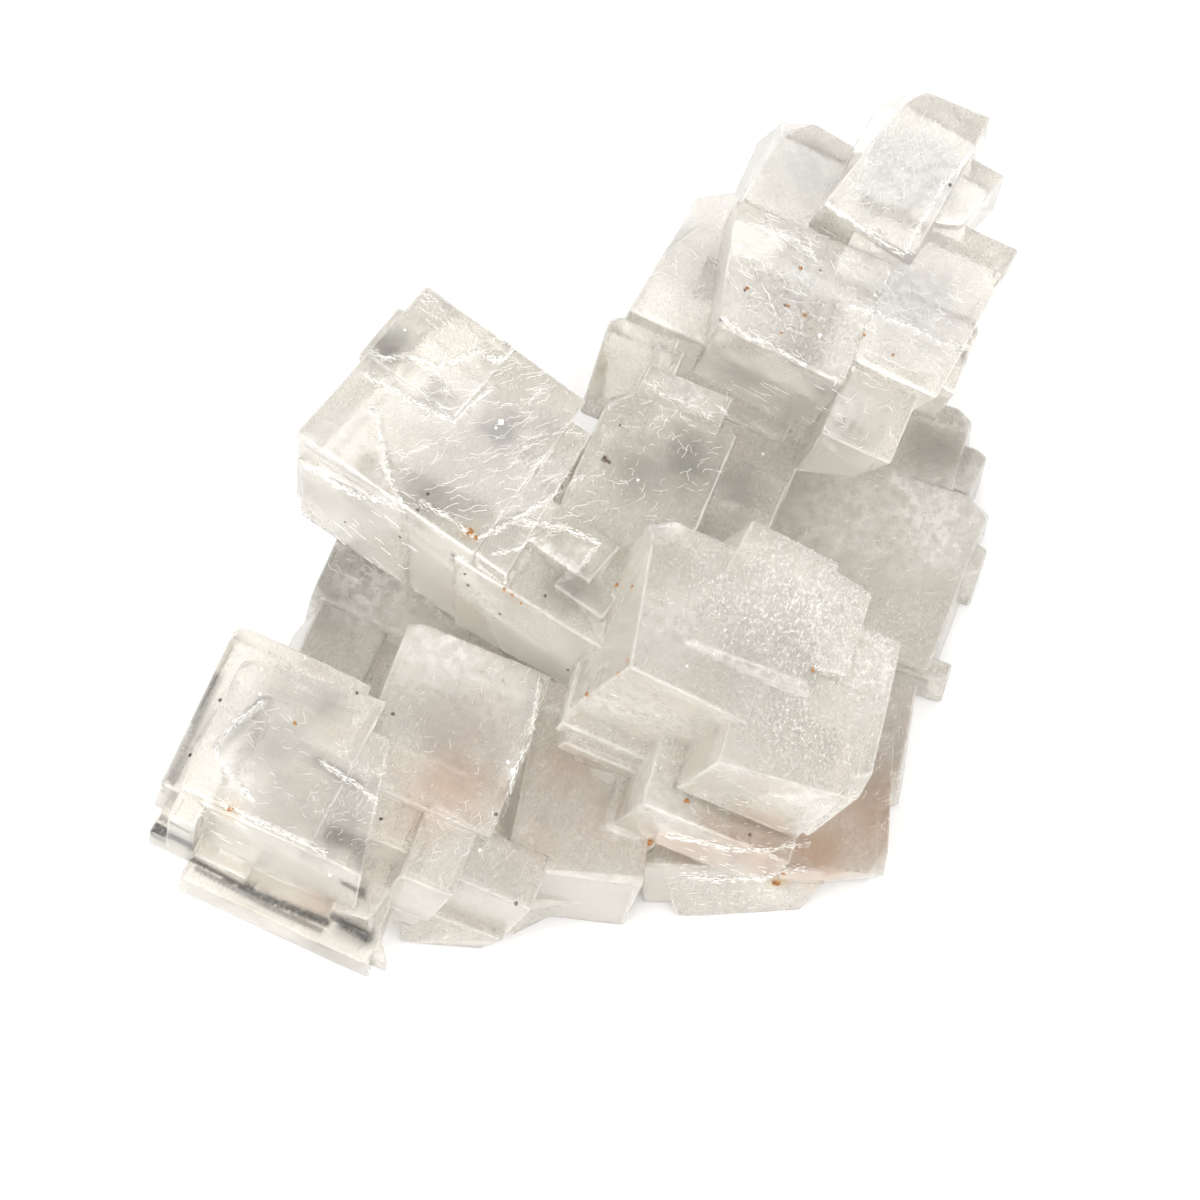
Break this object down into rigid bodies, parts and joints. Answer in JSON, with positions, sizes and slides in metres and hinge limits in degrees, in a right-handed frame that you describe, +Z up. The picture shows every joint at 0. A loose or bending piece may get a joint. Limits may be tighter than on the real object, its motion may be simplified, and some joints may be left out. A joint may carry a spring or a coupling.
{
  "type": "halite crystal cluster",
  "caption": "Cluster of intergrown clear to milky halite cubes with stepped faces and rose-tinged lower blocks, resting on its flat broken base.",
  "frame": {"origin": "middle of the bounding box, on the flat broken base", "axes": "+Z up from the base; the broad cube faces look up and towards -Y, and the tall stepped tower is at +X +Y"},
  "size_m": [0.0878, 0.0898, 0.0393],
  "materials": {
    "halite": "translucent, satin, etched cube faces"
  },
  "bodies": {
    "root": {"halite_cluster": "halite"}
  },
  "joints": []
}
